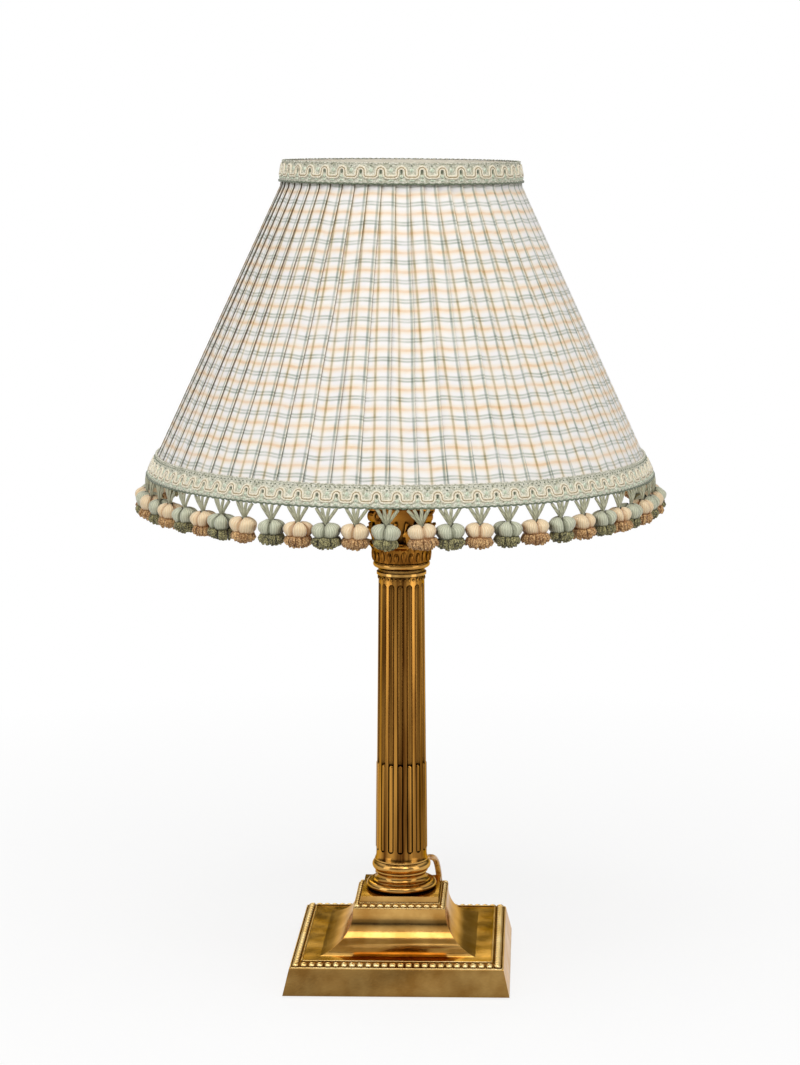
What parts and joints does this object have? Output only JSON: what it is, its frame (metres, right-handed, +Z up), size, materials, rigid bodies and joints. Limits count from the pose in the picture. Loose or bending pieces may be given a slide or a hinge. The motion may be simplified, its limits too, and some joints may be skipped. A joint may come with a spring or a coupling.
{
  "type": "column table lamp",
  "caption": "Brass table lamp: square stepped base, fluted column with leafy capital, bayonet lampholder, pleated check empire shade with tassel fringe, cord and plug.",
  "frame": {"origin": "on the table, under the middle of the felt pad", "axes": "+Z up along the column, -Y towards the front of the lamp, the cord leaves at the back (+Y)"},
  "size_m": [0.321, 0.3905, 0.4966],
  "materials": {
    "brass": "polished, warm, lightly toned",
    "brass_dark": "toned brass with a deeper patina",
    "brass_pin": "bright turned brass",
    "felt": "green felt",
    "board": "plain board",
    "iron": "rough cast",
    "steel": "zinc plated",
    "insulator": "dark moulded resin",
    "spring_steel": "bright",
    "bulb_glass": "pearl",
    "aluminium": "bright",
    "solder": "solder",
    "frame_wire": "white coated wire",
    "lining": "cream lining",
    "check_cloth": "cream check cotton in knife pleats",
    "trimming": "sage braid with a cream scroll cord",
    "tassel_green": "silky sage green",
    "tassel_peach": "silky peach",
    "flex": "gold clear-covered flex",
    "plug": "gold moulded plug"
  },
  "bodies": {
    "stand": {"felt_pad": "felt", "backing_board": "board", "base_weight": "iron", "base_casting": "brass", "column_foot": "brass", "fluted_shaft": "brass", "shaft_collar": "brass", "capital": "brass_dark", "threaded_rod": "steel", "rod_washer": "steel", "rod_nut": "steel", "top_cap": "brass", "lock_nut": "brass_pin", "lampholder_cap": "brass_pin", "lampholder_body": "brass_pin", "terminal_block": "insulator", "terminal_screws": "brass_pin", "plunger_springs": "spring_steel", "lampholder_skirt": "brass_pin", "bulb_cap": "aluminium", "bulb_contacts": "solder", "bulb_glass": "bulb_glass", "bulb_stem": "bulb_glass", "inner_cord": "flex", "cord_bush": "brass_pin", "cord_lead": "flex", "cord_coil": "flex", "cord_tail": "flex", "plug_grip": "plug", "plug_body": "plug", "plug_pins": "brass_pin"},
    "switch_bar": {"switch_bar": "insulator"},
    "shade": {"fitter_ring": "frame_wire", "fitter_arms": "frame_wire", "frame_bottom_ring": "frame_wire", "frame_top_ring": "frame_wire", "frame_struts": "frame_wire", "shade_lining": "lining", "shade_cover": "check_cloth", "gimp_top": "trimming", "gimp_bottom": "trimming", "tassels_green": "tassel_green", "tassels_peach": "tassel_peach"},
    "shade_ring": {"shade_ring": "brass_pin"},
    "contacts": {"contact_plungers": "brass_pin"}
  },
  "joints": [
    {"name": "switch_push", "type": "slide", "parent": "stand", "child": "switch_bar", "axis": [1, 0, 0], "range_m": [-0.007, 0]},
    {"name": "shade_turn", "type": "hinge", "parent": "stand", "child": "shade", "pos_m": [0, 0, 0.3322], "axis": [0, 0, 1], "continuous": true},
    {"name": "ring_turn", "type": "hinge", "parent": "stand", "child": "shade_ring", "pos_m": [0, 0, 0.3322], "axis": [0, 0, 1], "range_deg": [0, 360]},
    {"name": "contact_press", "type": "slide", "parent": "stand", "child": "contacts", "axis": [0, 0, 1], "range_m": [-0.0015, 0], "stiffness_N_per_m": 600, "springref_m": 0.002, "deforming": ["plunger_springs"]}
  ]
}
